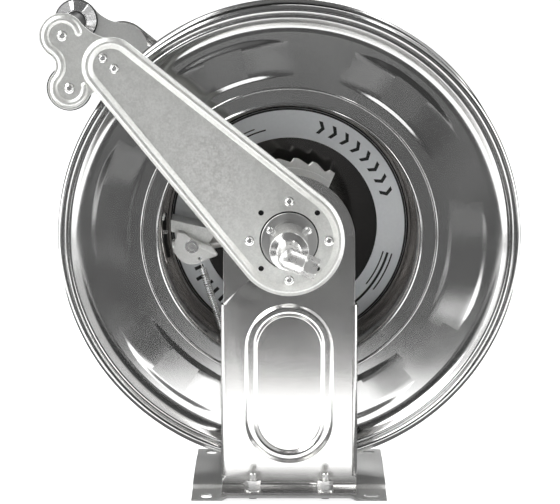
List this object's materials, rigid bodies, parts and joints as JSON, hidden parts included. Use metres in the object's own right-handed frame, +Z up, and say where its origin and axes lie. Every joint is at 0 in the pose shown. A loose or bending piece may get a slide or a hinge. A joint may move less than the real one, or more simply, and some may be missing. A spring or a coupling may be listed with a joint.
{
  "type": "fire hose reel",
  "caption": "Free-standing spring-rewind fire hose reel: flanged drum between two pedestals on a footed base, guide arms with hose rollers, inlet swivel.",
  "frame": {"origin": "on the floor, under the middle of the whole reel's bounding box; the drum's axis is 7.5 mm to +X of it", "axes": "+Z up, -Y towards the inlet side, +X to the right seen from the inlet side; the drum turns about Y"},
  "size_m": [0.5152, 0.4073, 0.5277],
  "materials": {
    "satin_steel": "satin stainless sheet",
    "polished_steel": "bright rolled stainless sheet",
    "fastener_steel": "bright turned steel",
    "cast_brass": "nickel-plated cast brass",
    "spring_steel": "oiled spring steel",
    "label_print": "silver printed ring",
    "black_plastic": "moulded, matte",
    "seal_rubber": "nitrile rubber"
  },
  "bodies": {
    "frame": {"base_plate": "satin_steel", "front_pedestal": "satin_steel", "rear_pedestal": "satin_steel", "front_arm": "satin_steel", "rear_arm": "satin_steel", "front_roller_bracket": "satin_steel", "rear_roller_bracket": "satin_steel", "base_bolt_front_left": "fastener_steel", "base_bolt_front_right": "fastener_steel", "base_bolt_rear_left": "fastener_steel", "base_bolt_rear_right": "fastener_steel", "base_nut_front_left": "fastener_steel", "base_nut_front_right": "fastener_steel", "base_nut_rear_left": "fastener_steel", "base_nut_rear_right": "fastener_steel", "arm_screw_front_top": "fastener_steel", "arm_screw_front_right": "fastener_steel", "arm_screw_front_bottom": "fastener_steel", "arm_screw_front_left": "fastener_steel", "arm_screw_rear_top": "fastener_steel", "arm_screw_rear_right": "fastener_steel", "arm_screw_rear_bottom": "fastener_steel", "arm_screw_rear_left": "fastener_steel", "bracket_screw_front_upper": "fastener_steel", "bracket_screw_front_lower": "fastener_steel", "bracket_screw_rear_upper": "fastener_steel", "bracket_screw_rear_lower": "fastener_steel", "roller_bolt_upper": "fastener_steel", "roller_bolt_lower": "fastener_steel", "roller_nut_upper": "fastener_steel", "roller_nut_lower": "fastener_steel", "front_bearing_housing": "satin_steel", "bearing_screw_1": "fastener_steel", "bearing_screw_2": "fastener_steel", "bearing_screw_3": "fastener_steel", "front_bearing": "black_plastic", "ratchet_sector": "satin_steel", "rear_arbor_flange": "satin_steel", "spring_arbor": "fastener_steel", "arbor_nut": "fastener_steel"},
    "drum": {"front_flange": "polished_steel", "rear_flange": "polished_steel", "drum_shell": "polished_steel", "drum_shaft": "fastener_steel", "hose_outlet_pipe": "cast_brass", "spring_case": "polished_steel", "spring_case_lid": "polished_steel", "label_ring": "label_print", "main_spring": "spring_steel", "case_bush": "black_plastic", "pawl_bracket": "satin_steel", "pawl_pin": "fastener_steel", "pawl_circlip": "fastener_steel", "pawl_spring_post": "fastener_steel", "pawl_spring": "spring_steel"},
    "pawl": {"pawl": "satin_steel"},
    "inlet": {"inlet_elbow": "cast_brass", "swivel_seal": "seal_rubber"},
    "roller_upper": {"roller_upper": "black_plastic"},
    "roller_lower": {"roller_lower": "black_plastic"}
  },
  "joints": [
    {"name": "drum_spin", "type": "hinge", "parent": "frame", "child": "drum", "pos_m": [0.0075, 0.05675, 0.278], "axis": [0, 1, 0], "continuous": true},
    {"name": "inlet_swivel", "type": "hinge", "parent": "frame", "child": "inlet", "pos_m": [0.0075, -0.07825, 0.278], "axis": [0, 1, 0], "continuous": true},
    {"name": "roller_upper_spin", "type": "hinge", "parent": "frame", "child": "roller_upper", "pos_m": [-0.2335, 0.05675, 0.497], "axis": [0, 1, 0], "continuous": true},
    {"name": "roller_lower_spin", "type": "hinge", "parent": "frame", "child": "roller_lower", "pos_m": [-0.2262, 0.05675, 0.4414], "axis": [0, 1, 0], "continuous": true},
    {"name": "pawl_swing", "type": "hinge", "parent": "drum", "child": "pawl", "pos_m": [-0.0988, 0.01375, 0.2615], "axis": [0, 1, 0], "range_deg": [-12, 6], "stiffness_Nm_per_rad": 0.2}
  ]
}
